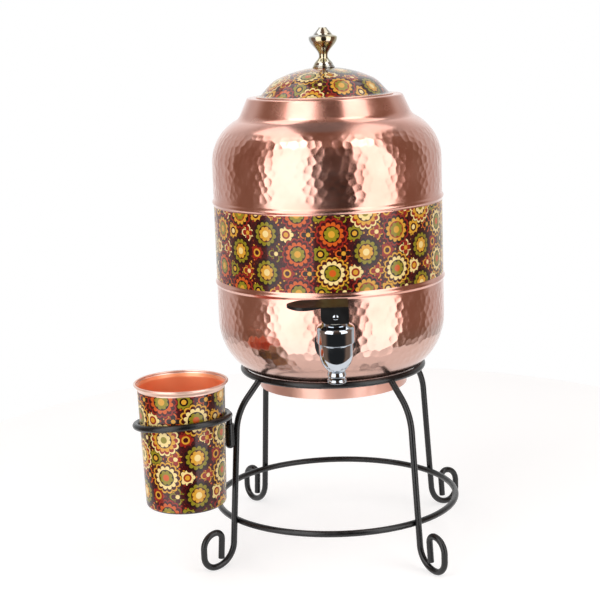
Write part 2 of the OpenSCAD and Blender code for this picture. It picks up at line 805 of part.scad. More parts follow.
module tap_nut() {
    color("#c2a55c") at_tap() difference() {
        translate([0, nut_y, 0]) rotate([-90, 0, 0]) cylinder(d = nut_flats / cos(30), h = nut_t, $fn = 6);
        shank_bar(shank_d + 2 * thread_gap, nut_y - cut, nut_y + nut_t + cut);
    }
}

// Screwed cap over the barrel: straight side, cone and collar, with a gland for the stem's ring
module tap_bonnet() {
    r = bonnet_d / 2;
    e = bonnet_edge;
    top_e = bonnet_round;
    color("#d9dde0") at_tap() difference() {
        rotate_extrude() polygon(concat(
            [[0, bonnet_z]],
            arc(r - e, bonnet_z + e, e, -90, 0),
            arc(r - top_e, cone_z - top_e, top_e, 0, 60),
            [[cone_d / 2, collar_z], [collar_d / 2, collar_z], [collar_d / 2, washer_z], [0, washer_z]]
        ));
        translate([0, 0, bonnet_z - cut])
            cylinder(r = spigot_d / 2 + thread_gap, h = bonnet_step - bonnet_z + cut);
        cylinder(d = chamber_d, h = ceiling_z);
        cylinder(r = stem_bore_r, h = washer_z + cut);
        translate([0, 0, seal_ring_z - stem_seal_t / 2])
            cylinder(r = stem_bore_r + stem_seal_t, h = stem_seal_t);
    }
}

module bonnet_seal() {
    color("#232326") at_tap() translate([0, 0, spigot_z]) tube(spigot_d, chamber_d, bonnet_seal_t);
}

module stem_seal() {
    color("#232326") at_tap() translate([0, 0, seal_ring_z])
        wire_ring(stem_bore_r + stem_seal_t / 2, stem_seal_t);
}

module thrust_washer() {
    color("#e6e4dc") at_tap() translate([0, 0, washer_z])
        tube(collar_d, 2 * stem_bore_r, thrust_washer_t);
}

// Stem with a foot that holds the valve seal and a cross hole for the lever's pin
module valve_stem() {
    color("#c2a55c") at_tap() difference() {
        union() {
            translate([0, 0, stem_foot_z]) cylinder(d = stem_foot_d, h = stem_foot_t);
            translate([0, 0, stem_foot_z]) cylinder(r = stem_r, h = pin_z + stem_head_h - stem_foot_z);
            translate([0, 0, -seat_drop]) cylinder(d = seal_spigot_d, h = valve_seal_t + cut);
        }
        translate([0, 0, pin_z]) shank_bar(pin_d + 2 * pin_gap, -stem_d, stem_d);
    }
}

module valve_seal() {
    color("#232326") at_tap() translate([0, 0, -seat_drop])
        tube(stem_foot_d, seal_spigot_d + 2 * thread_gap, valve_seal_t);
}

// Coil spring that presses the stem's foot down onto the seat
module valve_spring() {
    rings = 8;
    sides = 6;
    color("#9a9da1") at_tap() translate([0, 0, spring_z])
        polyhedron(
            points = coil_points(spring_r, spring_wire_d, spring_turns, spring_len, rings, sides),
            faces = coil_faces(spring_turns * rings + 1, sides),
            convexity = 10
        );
}

// Lever: a slotted head that rolls up on its rounded cam, and a dished paddle
module tap_lever() {
    color("#17171a") at_tap() difference() {
        union() {
            translate([0, head_depth / 2, 0]) rotate([90, 0, 0]) linear_extrude(head_depth)
                polygon(concat(
                    [[head_back, lever_top], [-head_front, lever_top]],
                    arc(-cam_offset, pin_z, pin_rise, 180, 270),
                    [[head_back, lever_z]]
                ));
            intersection() {
                translate([0, 0, lever_top - head_h / 2]) linear_extrude(head_h / 2) hull() {
                    translate([paddle_tip_r - paddle_reach, 0]) circle(r = paddle_tip_r);
                    translate([dish_x, 0]) circle(d = paddle_w);
                    translate([-pin_rise, 0]) circle(d = paddle_w);
                }
                translate([dish_x, 0, lever_top - paddle_t + dish_r]) sphere(r = dish_r, $fn = 128);
            }
        }
        translate([dish_x, 0, lever_top - dish_depth + dish_r]) sphere(r = dish_r, $fn = 128);
        translate([0, 0, pin_z]) shank_bar(2 * slot_r, -stem_r - slot_gap, stem_r + slot_gap);
        translate([-slot_r, -stem_r - slot_gap, lever_z - cut])
            cube([2 * slot_r, stem_d + 2 * slot_gap, pin_rise + cut]);
        translate([0, 0, pin_z]) shank_bar(pin_d, -head_depth, head_depth);
    }
}

// Pin with domed ends that stand out of the lever's head
module lever_pin() {
    pin_r = pin_d / 2;
    dome_r = (pow(pin_r, 2) + pow(pin_dome, 2)) / (2 * pin_dome);
    dome_y = head_depth / 2 + pin_dome - dome_r;
    dome_edge = asin((dome_r - pin_dome) / dome_r);
    color("#d9dde0") at_tap() translate([0, 0, pin_z]) rotate([90, 0, 0]) rotate_extrude()
        polygon(concat(
            arc(0, -dome_y, dome_r, -90, -dome_edge),
            arc(0, dome_y, dome_r, dome_edge, 90)
        ));
}

top_ring();
base_ring();
leg_front_left();
leg_front_right();
leg_back_right();
leg_back_left();
holder_socket();
holder_ring();
tumbler();
pot_base();
pot_side();
pot_band();
pot_shoulder();
pot_neck();
pot_foot();
lid_dome();
lid_rim();
lid_knob();
knob_washer();
knob_screw();
tap_body();
outer_gasket();
inner_gasket();
tap_nut();
tap_bonnet();
bonnet_seal();
stem_seal();
thrust_washer();
valve_stem();
valve_seal();
valve_spring();
tap_lever();
lever_pin();
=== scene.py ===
import math

import bpy
import numpy as np
from mathutils import Matrix, Vector
from mathutils.kdtree import KDTree


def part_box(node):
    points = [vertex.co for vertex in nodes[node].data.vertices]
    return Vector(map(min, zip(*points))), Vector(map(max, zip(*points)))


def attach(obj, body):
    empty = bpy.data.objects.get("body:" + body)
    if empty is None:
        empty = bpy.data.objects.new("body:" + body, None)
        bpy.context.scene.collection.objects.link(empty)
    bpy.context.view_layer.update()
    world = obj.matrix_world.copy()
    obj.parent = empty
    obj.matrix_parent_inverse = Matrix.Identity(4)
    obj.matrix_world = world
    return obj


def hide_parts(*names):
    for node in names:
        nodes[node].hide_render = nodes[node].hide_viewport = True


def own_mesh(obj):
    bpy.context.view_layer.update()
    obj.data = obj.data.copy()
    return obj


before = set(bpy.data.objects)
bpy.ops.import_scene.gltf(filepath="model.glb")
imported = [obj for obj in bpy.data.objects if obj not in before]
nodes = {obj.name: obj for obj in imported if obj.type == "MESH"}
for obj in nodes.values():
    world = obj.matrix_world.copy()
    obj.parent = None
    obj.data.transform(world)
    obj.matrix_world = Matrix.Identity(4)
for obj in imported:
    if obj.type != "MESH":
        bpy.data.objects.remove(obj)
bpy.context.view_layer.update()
MM = 0.001

# Sizes that the new skins share with the solids, in millimetres
BODY_R = 91.5
BODY_H = 126.0
POT_WALL = 1.2
BOWL_R = 49.0
SHOULDER_R = 37.6
NECK_LEAN = 24
NECK_FILLET_R = 10.4
RIM_OUT_R = 62.35
RIM_ROUND = 2.0
MOUTH_R = 49.5
BEAD_HEIGHTS = (31.4, 95.7)
BEAD_HALF = 3.0
BEAD_OUT = 1.15
LID_WALL = 1.0
LID_FLANGE_R = 54.5
LID_LIP_R = 49.0
LID_LIP_H = 8.0
LID_FLARE_LEAN = 42
LID_FLARE_R = 4.0
DOME_SIDE_R = 23.0
DOME_LEAN = 20
CROWN_LEAN = 65
LAND_R = 9.0
TUMBLER_H = 97.0
TUMBLER_BASE_R = 30.9
TUMBLER_TOP_R = 33.5
TUMBLER_FLARE = 2.2
TUMBLER_LIP_H = 5.0
TUMBLER_ROLL_R = 0.9
TUMBLER_WALL = 0.9
TUMBLER_EDGE_R = 3.0
TAP_LEAN = math.radians(6)
NOZZLE_DROP = 17.4
NOZZLE_R = 6.3
NOZZLE_RING_OUT = 0.7
NOZZLE_LIP_H = 1.6
NOZZLE_RING_H = 3.0
NOZZLE_BORE_R = 4.2
BARREL_R = 12.4
BARREL_TOP = 13.0
EGG_TOP = 5.4
EGG_R = 18.6
EGG_LEAN = 39
SPIGOT_R = 11.0
SPIGOT_TOP = 20.0
CHAMBER_R = 7.0
SEAT_DROP = 4.55
SHANK_R = 7.2
SHANK_BORE_R = 4.0
SHANK_END = 50.2
TAP_FLANGE_R = 12.5
TAP_FLANGE = (32.5, 35.5)
SPRING_TURNS = 7
SPRING_WIRE_R = 0.45

# Creases sharper than this stay hard, and lengths closer than TINY count as the same
SHARP_ANGLE = 35
TINY = 0.01


# Outlines: lists of (radius, height) in millimetres

def arc(x, z, r, start, end, steps):
    """Points along a round stretch, with angles in degrees."""
    angles = np.radians(np.linspace(start, end, steps + 1))
    return [(x + r * math.cos(a), z + r * math.sin(a)) for a in angles]


def line(a, b, steps):
    """Points along a straight stretch."""
    shares = np.linspace(0, 1, steps + 1)
    return [(a[0] + (b[0] - a[0]) * t, a[1] + (b[1] - a[1]) * t) for t in shares]


def ease(r0, z0, r1, z1, steps):
    """Points along a smooth S from one radius and height to another."""
    shares = np.linspace(0, 1, steps + 1)
    return [(r0 + (r1 - r0) * (1 - math.cos(math.pi * t)) / 2, z0 + (z1 - z0) * t) for t in shares]


def joined(*stretches):
    """One outline from several, without doubled points."""
    points = []
    for stretch in stretches:
        for p in stretch:
            if not points or math.dist(points[-1], p) > 1e-4:
                points.append(p)
    return points


# Meshes

def grid(rows, columns):
    """The row and the column of each cell in a grid, as flat arrays."""
    return [a.ravel() for a in np.meshgrid(rows, columns, indexing="ij")]


def mesh_object(name, verts, loops, starts, paint, uv):
    """An object from flat arrays: verts in metres, loop corners, and each face's first loop
    and material."""
    mesh = bpy.data.meshes.new(name)
    mesh.vertices.add(len(verts))
    mesh.vertices.foreach_set("co", verts.astype(np.float32).ravel())
    mesh.loops.add(len(loops))
    mesh.loops.foreach_set("vertex_index", loops.astype(np.int32))
    mesh.polygons.add(len(starts))
    mesh.polygons.foreach_set("loop_start", starts.astype(np.int32))
    mesh.polygons.foreach_set("material_index", paint.astype(np.int32))
    mesh.polygons.foreach_set("use_smooth", np.ones(len(starts), bool))
    layer = mesh.uv_layers.new(name="print")
    layer.data.foreach_set("uv", uv.astype(np.float32).ravel())
    mesh.update(calc_edges=True)
    mesh.validate()
    obj = bpy.data.objects.new(name, mesh)
    bpy.context.scene.collection.objects.link(obj)
    return obj


def revolve(name, profile, segments, at=(0, 0), paint=None, spread=None, dent=None):
    """A closed skin turned about an upright axis. The profile starts and ends on the axis.
    paint gives a stretch's material from its middle, spread gives a corner's place in the print,
    and dent moves points in."""
    r, z = np.array(profile).T
    rows, turn = len(r), np.linspace(0, 2 * np.pi, segments, endpoint=False)
    ring = np.stack([np.outer(r, np.cos(turn)), np.outer(r, np.sin(turn)),
                     np.repeat(z[:, None], segments, 1)], 2)
    if dent is not None:
        dr, dz = np.gradient(r), np.gradient(z)
        slope = np.hypot(dr, dz)
        normal = np.stack([np.outer(dz / slope, np.cos(turn)), np.outer(dz / slope, np.sin(turn)),
                           np.repeat((-dr / slope)[:, None], segments, 1)], 2)
        ring = ring - normal * dent(ring)[:, :, None]
    verts = np.concatenate([ring[0, :1], ring[1:-1].reshape(-1, 3), ring[-1, :1]])
    last = len(verts) - 1
    i, j = grid(np.arange(1, rows - 2), np.arange(segments))
    corner = lambda row, col: 1 + (row - 1) * segments + col % segments
    quads = np.stack([corner(i, j), corner(i, j + 1), corner(i + 1, j + 1), corner(i + 1, j)], 1)
    quad_rows = np.stack([i, i, i + 1, i + 1], 1)
    quad_cols = np.stack([j, j + 1, j + 1, j], 1)
    k = np.arange(segments)
    half, whole = k + 0.5, np.ones(segments, int)
    first_fan = np.stack([0 * k, corner(whole, k + 1), corner(whole, k)], 1)
    end = whole * (rows - 2)
    last_fan = np.stack([corner(end, k), corner(end, k + 1), 0 * k + last], 1)
    loops = np.concatenate([quads.ravel(), first_fan.ravel(), last_fan.ravel()])
    starts = np.concatenate([4 * np.arange(len(quads)),
                             4 * len(quads) + 3 * np.arange(2 * segments)])
    loop_rows = np.concatenate([quad_rows.ravel(), np.stack([0 * k, whole, whole], 1).ravel(),
                                np.stack([end, end, end + 1], 1).ravel()])
    loop_turn = np.concatenate([quad_cols.ravel(), np.stack([half, k + 1, k], 1).ravel(),
                                np.stack([k, k + 1, half], 1).ravel()]) * 2 * np.pi / segments
    middle = [((a[0] + b[0]) / 2, (a[1] + b[1]) / 2, n)
              for n, (a, b) in enumerate(zip(profile, profile[1:]))]
    row_paint = np.array([paint(*m) if paint else 0 for m in middle])
    face_paint = np.concatenate([row_paint[i], 0 * k + row_paint[0], 0 * k + row_paint[-1]])
    way = np.concatenate([[0], np.cumsum(np.hypot(np.diff(r), np.diff(z)))])
    u, v = spread(z[loop_rows], way[loop_rows], loop_turn) if spread else (loop_turn, z[loop_rows])
    obj = mesh_object(name, (verts + [*at, 0]) * MM, loops, starts, face_paint, np.stack([u, v], 1))
    obj.data.set_sharp_from_angle(angle=math.radians(SHARP_ANGLE))
    return obj


def turned_ring(name, section, segments, at, side, back, up):
    """A closed ring turned about an axis through a point. Its section is listed up its outside
    and down its bore."""
    turn = np.linspace(0, 2 * np.pi, segments, endpoint=False)[:, None]
    r, z = np.array(section).T[:, :, None, None]
    verts = (at + r * (np.cos(turn) * side + np.sin(turn) * back) + z * up).reshape(-1, 3)
    i, j = grid(np.arange(len(section)), np.arange(segments))
    corner = lambda row, col: row % len(section) * segments + col % segments
    quads = np.stack([corner(i, j), corner(i, j + 1), corner(i + 1, j + 1), corner(i + 1, j)], 1)
    loops = quads.ravel()
    starts = 4 * np.arange(len(i))
    return mesh_object(name, verts * MM, loops, starts, 0 * starts, np.zeros((len(loops), 2)))


def place(obj, body, slot, materials, *replaced):
    """Gives a new piece its materials and its body, and hides the solids that it stands for. Its slot
    is not used.
    """
    for m in materials:
        obj.data.materials.append(m)
    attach(obj, body)
    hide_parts(*replaced)
    return obj


# Shader building

def srgb(r, g, b):
    """A colour written as 0 to 255 on the screen, as linear light."""
    return tuple(c / 255 / 12.92 if c < 11 else ((c / 255 + 0.055) / 1.055) ** 2.4
                 for c in (r, g, b))


class Field:
    """A number that varies over a surface, built up from Math nodes."""

    def __init__(self, tree, socket):
        self.tree = tree
        self.socket = socket

    def math(self, operation, *others):
        node = self.tree.nodes.new("ShaderNodeMath")
        node.operation = operation
        for slot, value in zip(node.inputs, (self, *others)):
            if isinstance(value, Field):
                self.tree.links.new(value.socket, slot)
            else:
                slot.default_value = value
        return Field(self.tree, node.outputs[0])

    def __add__(self, other):
        return self.math("ADD", other)

    def __sub__(self, other):
        return self.math("SUBTRACT", other)

    def __mul__(self, other):
        return self.math("MULTIPLY", other)

    def __truediv__(self, other):
        return self.math("DIVIDE", other)

    def below(self, other):
        return self.math("LESS_THAN", other)

    def ramp(self, low, high, to_low=0.0, to_high=1.0):
        node = self.tree.nodes.new("ShaderNodeMapRange")
        node.interpolation_type = "SMOOTHSTEP"
        self.tree.links.new(self.socket, node.inputs["Value"])
        ends = {"From Min": low, "From Max": high, "To Min": to_low, "To Max": to_high}
        for name, value in ends.items():
            node.inputs[name].default_value = value
        return Field(self.tree, node.outputs["Result"])

    def pick(self, *colors):
        """One of several colours, in equal shares of the field's range from 0 to 1."""
        node = self.tree.nodes.new("ShaderNodeValToRGB")
        node.color_ramp.interpolation = "CONSTANT"
        stops = node.color_ramp.elements
        while len(stops) < len(colors):
            stops.new(0.5)
        for n, color in enumerate(colors):
            stops[n].position = n / len(colors)
            stops[n].color = (*color, 1)
        self.tree.links.new(self.socket, node.inputs["Fac"])
        return node.outputs["Color"]


def mixed(tree, share, a, b):
    """Colour b over colour a by a share; each is a socket or a plain colour."""
    node = tree.nodes.new("ShaderNodeMix")
    node.data_type = "RGBA"
    tree.links.new(share.socket, node.inputs[0])
    for slot, color in ((node.inputs[6], a), (node.inputs[7], b)):
        if isinstance(color, tuple):
            slot.default_value = (*color, 1)
        else:
            tree.links.new(color, slot)
    return node.outputs[2]


def material(name, color, metallic, roughness, **sockets):
    """A Principled material, its node tree and its shader."""
    mat = bpy.data.materials.new(name)
    mat.use_nodes = True
    shader = mat.node_tree.nodes["Principled BSDF"]
    shader.inputs["Base Color"].default_value = (*color, 1)
    shader.inputs["Metallic"].default_value = metallic
    shader.inputs["Roughness"].default_value = roughness
    for key, value in sockets.items():
        shader.inputs[key.replace("_", " ")].default_value = value
    return mat, mat.node_tree, shader


def noise(tree, scale, detail=3.0, stretch=(1, 1, 1)):
    """Noise over the piece, with its scale per metre, drawn out along the axes."""
    where = tree.nodes.new("ShaderNodeTexCoord")
    mapping = tree.nodes.new("ShaderNodeMapping")
    mapping.inputs["Scale"].default_value = stretch
    node = tree.nodes.new("ShaderNodeTexNoise")
    node.inputs["Scale"].default_value = scale
    node.inputs["Detail"].default_value = detail
    tree.links.new(where.outputs["Object"], mapping.inputs["Vector"])
    tree.links.new(mapping.outputs["Vector"], node.inputs["Vector"])
    return Field(tree, node.outputs["Fac"])


def bump(tree, shader, height, distance, strength=1.0):
    """Fine relief under a shader, with its depth in metres."""
    node = tree.nodes.new("ShaderNodeBump")
    node.inputs["Distance"].default_value = distance
    node.inputs["Strength"].default_value = strength
    tree.links.new(height.socket, node.inputs["Height"])
    tree.links.new(node.outputs["Normal"], shader.inputs["Normal"])


def worn(tree, shader, low, high, scale, detail=4.0, more=None):
    """Roughness that varies over the piece, with more of it by another field."""
    field = noise(tree, scale, detail).ramp(0.3, 0.7, low, high)
    if more:
        field = field + more
    tree.links.new(field.socket, shader.inputs["Roughness"])


def copper(name, bright, deep, low, high, shade_below=None, metallic=1.0):
    """Lacquered satin copper: patchy tone, fine spun lines and a roughness that wanders.
    Given a shade tone it is the pot's: its bowl underneath carries painted shade in its base colour,
    and its smooth neck is softer."""
    mat, tree, shader = material(name, bright, metallic, low, Coat_Weight=0.6, Coat_Roughness=0.12)
    color = mixed(tree, noise(tree, 22, 4).ramp(0.35, 0.7), bright, deep)
    softer = None
    if shade_below:
        where = tree.nodes.new("ShaderNodeTexCoord")
        split = tree.nodes.new("ShaderNodeSeparateXYZ")
        tree.links.new(where.outputs["Object"], split.inputs[0])
        height = Field(tree, split.outputs[2])
        # Painted shade: the base colour turns darker and greyer down the bowl, below these heights
        color = mixed(tree, height.ramp(SHADE_FULL_Z, SHADE_NONE_Z), shade_below, color)
        softer = height.ramp(NECK_LOW_Z, NECK_HIGH_Z, 0.0, NECK_SOFTER)
    tree.links.new(color, shader.inputs["Base Color"])
    worn(tree, shader, low, high, 60, 5, softer)
    bump(tree, shader, noise(tree, 900, 2, (0.03, 0.03, 1)), 0.00002, 0.5)
    return mat


# The print: half-drop rows of petal rosettes with small flowers between them, on a dotted ground
PETAL_POINT = 0.55
DOT_R = 0.8
DOTS_PER_CELL = 8
MAROON = srgb(66, 12, 15)
BROWN = srgb(34, 11, 8)
RUST = srgb(142, 34, 22)
ORANGE = srgb(196, 86, 28)
GOLD = srgb(208, 152, 48)
OLIVE = srgb(136, 124, 26)
CREAM = srgb(232, 206, 138)


def cells(u, v, pitch_u, pitch_v, columns, shift_u=0.0, shift_v=0.0):
    """The place inside a half-drop cell from its middle, in millimetres, and the cell's random
    number."""
    tree = u.tree
    across = u / pitch_u + shift_u
    column = across.math("FLOOR").math("FLOORED_MODULO", columns)
    up = v / pitch_v + shift_v + (column * 0.5).math("FRACT")
    x = (across.math("FRACT") - 0.5) * pitch_u
    y = (up.math("FRACT") - 0.5) * pitch_v
    both = tree.nodes.new("ShaderNodeCombineXYZ")
    tree.links.new(column.socket, both.inputs[0])
    tree.links.new(up.math("FLOOR").socket, both.inputs[1])
    chance = tree.nodes.new("ShaderNodeTexWhiteNoise")
    chance.noise_dimensions = "2D"
    tree.links.new(both.outputs[0], chance.inputs["Vector"])
    return x, y, Field(tree, chance.outputs["Value"])


def flower(x, y, petals, inner, outer, turn=0.0):
    """The distance from a flower's middle less its petalled edge: below zero is inside."""
    r = (x * x + y * y).math("SQRT")
    angle = (y.math("ARCTAN2", x) + turn) * (petals / 2)
    wave = angle.math("COSINE").math("ABSOLUTE").math("POWER", PETAL_POINT)
    return r - (wave * (outer - inner) + inner), r


def print_material(name, pitch_u, pitch_v, columns, coat=0.4, shaded_foot=None):
    """Glossy printed enamel, drawn from the piece's own print coordinates in millimetres."""
    mat, tree, shader = material(name, MAROON, 0.0, 0.3, Specular_IOR_Level=0.2, Coat_Weight=coat,
                                 Coat_Roughness=0.08)
    uv = tree.nodes.new("ShaderNodeUVMap")
    uv.uv_map = "print"
    split = tree.nodes.new("ShaderNodeSeparateXYZ")
    tree.links.new(uv.outputs["UV"], split.inputs[0])
    u, v = Field(tree, split.outputs[0]), Field(tree, split.outputs[1])

    x, y, pick = cells(u, v, pitch_u / DOTS_PER_CELL, pitch_v / DOTS_PER_CELL,
                       columns * DOTS_PER_CELL)
    dot = (x * x + y * y).below(DOT_R ** 2)
    color = mixed(tree, dot, MAROON, pick.pick(GOLD, RUST, BROWN, ORANGE))

    x, y, pick = cells(u, v, pitch_u, pitch_v, columns, -1 / 3, 0.5)
    edge, r = flower(x, y, 4, 2.6, 6.6)
    color = mixed(tree, edge.below(0.6), color, BROWN)
    color = mixed(tree, edge.below(0.0), color, pick.pick(CREAM, OLIVE, GOLD, ORANGE))
    color = mixed(tree, (edge + 1.3).below(0.0), color, pick.pick(RUST, MAROON, RUST, BROWN))
    color = mixed(tree, r.below(1.7), color, pick.pick(GOLD, CREAM, CREAM, GOLD))

    x, y, pick = cells(u, v, pitch_u, pitch_v, columns, -2 / 3)
    edge, r = flower(x, y, 8, 4.0, 6.2)
    color = mixed(tree, edge.below(0.6), color, BROWN)
    color = mixed(tree, edge.below(0.0), color, pick.pick(GOLD, CREAM, RUST, OLIVE))
    color = mixed(tree, r.below(3.2), color, pick.pick(MAROON, RUST, GOLD, BROWN))
    color = mixed(tree, r.below(1.9), color, pick.pick(CREAM, GOLD, MAROON, GOLD))

    x, y, pick = cells(u, v, pitch_u, pitch_v, columns)
    edge, r = flower(x, y, 14, 10.4, 12.6)
    color = mixed(tree, edge.below(0.5), color, BROWN)
    color = mixed(tree, edge.below(0.0), color, pick.pick(RUST, GOLD, MAROON, CREAM, RUST))
    inside = (edge + 1.4).below(0.0)
    color = mixed(tree, inside, color, pick.pick(BROWN, MAROON, BROWN, RUST, MAROON))
    edge, r = flower(x, y, 12, 6.8, 9.4, 0.2)
    color = mixed(tree, edge.below(0.0), color, pick.pick(GOLD, CREAM, OLIVE, GOLD, ORANGE))
    color = mixed(tree, r.below(6.4), color, pick.pick(RUST, BROWN, MAROON, MAROON, BROWN))
    edge, r = flower(x, y, 8, 4.2, 5.8, 0.3)
    color = mixed(tree, edge.below(0.0), color, pick.pick(OLIVE, OLIVE, GOLD, CREAM, OLIVE))
    color = mixed(tree, r.below(2.6), color, pick.pick(GOLD, ORANGE, CREAM, OLIVE, GOLD))

    # Painted shade: the print's lowest strip turns dark brown where the tumbler's base curves under
    if shaded_foot:
        color = mixed(tree, v.below(shaded_foot), color, BROWN)
    tree.links.new(color, shader.inputs["Base Color"])
    worn(tree, shader, 0.22, 0.36, 120)
    return mat


# Materials
# The pot's painted shade on its bowl is full below the first height and gone above the second, in
# metres
SHADE_FULL_Z = 0.176
SHADE_NONE_Z = 0.194
NECK_LOW_Z = 0.338
NECK_HIGH_Z = 0.350
NECK_SOFTER = 0.03
# The pot's copper; its darker, greyer tone on the bowl is painted shade
COPPER = copper("copper_satin", srgb(230, 176, 160), srgb(223, 160, 142), 0.16, 0.26,
                shade_below=srgb(204, 164, 150))
# Rolled rims and edges: a paler, partly matte copy of copper that paints in their sheen
RIM_SHEEN_COPPER = copper("copper_pale_sheen", srgb(248, 214, 198), srgb(240, 198, 180), 0.3, 0.42,
                    metallic=0.7)
FOOT_COPPER = copper("copper_foot", srgb(236, 188, 172), srgb(228, 174, 158), 0.42, 0.52)
# The tumbler's inside: a brighter, more orange, partly matte copy of copper that paints in the light
# its hollow reflects onto itself
CUP_GLOW_COPPER = copper("copper_inside_glow", srgb(255, 162, 114), srgb(252, 148, 98), 0.36, 0.48,
                    metallic=0.5)
PRINT_ROW = 29.5
BAND_COLUMNS = 22
CUP_COLUMNS = 8
CUP_PRINT_ROUND = 204
LID_COLUMNS = 1000
BAND_PRINT = print_material("band_print", 2 * math.pi * BODY_R / BAND_COLUMNS, PRINT_ROW, BAND_COLUMNS)
# The tumbler's print ends in a 1.6 mm strip of painted shade at its base
CUP_PRINT = print_material("cup_print", CUP_PRINT_ROUND / CUP_COLUMNS, PRINT_ROW, CUP_COLUMNS, shaded_foot=1.6)
LID_PRINT = print_material("lid_print", 26.0, PRINT_ROW, LID_COLUMNS, coat=0.9)

COAT, coat_tree, coat_shader = material("powder_coat", srgb(13, 14, 16), 0.0, 0.28)
worn(coat_tree, coat_shader, 0.22, 0.34, 180)
bump(coat_tree, coat_shader, noise(coat_tree, 1400, 3), 0.00005, 0.35)

CHROME, chrome_tree, chrome_shader = material("tap_chrome", (0.56, 0.61, 0.67), 1.0, 0.05)
worn(chrome_tree, chrome_shader, 0.04, 0.09, 150)

NICKEL, nickel_tree, nickel_shader = material("knob_nickel", srgb(222, 214, 190), 1.0, 0.12)
tone = noise(nickel_tree, 60, 3).ramp(0.4, 0.65)
nickel_color = mixed(nickel_tree, tone, srgb(198, 198, 194), srgb(186, 176, 146))
nickel_tree.links.new(nickel_color, nickel_shader.inputs["Base Color"])
worn(nickel_tree, nickel_shader, 0.08, 0.18, 200)

PLASTIC, plastic_tree, plastic_shader = material("lever_plastic", srgb(14, 13, 13), 0.0, 0.34,
                                                 Specular_IOR_Level=0.35)
worn(plastic_tree, plastic_shader, 0.3, 0.4, 150)

RUBBER, rubber_tree, rubber_shader = material("gasket_rubber", srgb(28, 28, 30), 0.0, 0.6)
worn(rubber_tree, rubber_shader, 0.5, 0.75, 300)
bump(rubber_tree, rubber_shader, noise(rubber_tree, 1500, 2), 0.00004, 0.5)

BRASS, brass_tree, brass_shader = material("plain_brass", srgb(214, 178, 104), 1.0, 0.25)
worn(brass_tree, brass_shader, 0.18, 0.34, 220)

STEEL, steel_tree, steel_shader = material("plain_steel", srgb(196, 197, 200), 1.0, 0.25)
worn(steel_tree, steel_shader, 0.18, 0.34, 220)

NYLON, nylon_tree, nylon_shader = material("washer_nylon", srgb(222, 219, 208), 0.0, 0.45)
worn(nylon_tree, nylon_shader, 0.4, 0.55, 300)

KEPT = {
    COAT: ("top_ring", "base_ring", "leg_front_left", "leg_front_right", "leg_back_right",
           "leg_back_left", "holder_socket", "holder_ring"),
    FOOT_COPPER: ("pot_foot",),
    CHROME: ("tap_bonnet", "lever_pin"),
    RUBBER: ("outer_gasket", "inner_gasket", "bonnet_seal", "stem_seal", "valve_seal"),
    BRASS: ("tap_nut", "valve_stem"),
    STEEL: ("knob_washer", "knob_screw"),
    NYLON: ("thrust_washer",),
    PLASTIC: ("tap_lever",),
}
for kept_material, names in KEPT.items():
    for name in names:
        nodes[name].data.materials.clear()
        nodes[name].data.materials.append(kept_material)


# Pot: one skin with hammered zones above and below the printed band
POT_BASE_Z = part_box("pot_base")[0].z / MM
bowl = (BODY_R - BOWL_R, POT_BASE_Z + BOWL_R)
shoulder = (BODY_R - SHOULDER_R, bowl[1] + BODY_H)
RIM_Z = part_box("pot_neck")[1].z / MM
rim = Vector((RIM_OUT_R - RIM_ROUND, RIM_Z - RIM_ROUND))
neck_out = Vector((math.cos(math.radians(NECK_LEAN)), math.sin(math.radians(NECK_LEAN))))
neck_up = Vector((-neck_out.y, neck_out.x))
# The middle of the fillet that joins the neck's straight cone to the round shoulder
across = neck_out.dot(rim - Vector(shoulder)) + RIM_ROUND + NECK_FILLET_R
along = math.sqrt((SHOULDER_R + NECK_FILLET_R) ** 2 - across ** 2)
fillet = Vector(shoulder) + neck_out * across + neck_up * along
SHOULDER_SWEEP = math.degrees(math.atan2(fillet.y - shoulder[1], fillet.x - shoulder[0]))
beads = [bowl[1] + h for h in BEAD_HEIGHTS]
band = (beads[0] + BEAD_HALF, beads[1] - BEAD_HALF)

HAMMER_ZONES = ((158.0, beads[0] - 3.6), (beads[1] + 3.6, 342.0))
HAMMER_FADE = 4.5
DENT_PITCH = 6.6
DENT_BALL_R = 36.0
DENT_MAX = 0.2
FINE_STEP = 0.62


def fine(length):
    """Steps that resolve the dents along a length."""
    return round(length / FINE_STEP)


def bead(z):
    """A soft pressed bead round the pot."""
    return joined(ease(BODY_R, z - BEAD_HALF, BODY_R + BEAD_OUT, z, 9),
                  ease(BODY_R + BEAD_OUT, z, BODY_R, z + BEAD_HALF, 9))


def inner_side(inset):
    """The pot's inside from its rim down to the middle of its bottom."""
    return joined(
        arc(rim.x, rim.y, RIM_ROUND - inset, 90, NECK_LEAN, 4),
        arc(fillet.x, fillet.y, NECK_FILLET_R + inset, NECK_LEAN + 180, SHOULDER_SWEEP + 180, 12),
        arc(shoulder[0], shoulder[1], SHOULDER_R - inset, SHOULDER_SWEEP, 0, 16),
        line((BODY_R - inset, shoulder[1]), (BODY_R - inset, bowl[1]), 6),
        arc(bowl[0], bowl[1], BOWL_R - inset, 0, -90, 24),
        [(0, POT_BASE_Z + inset)],
    )


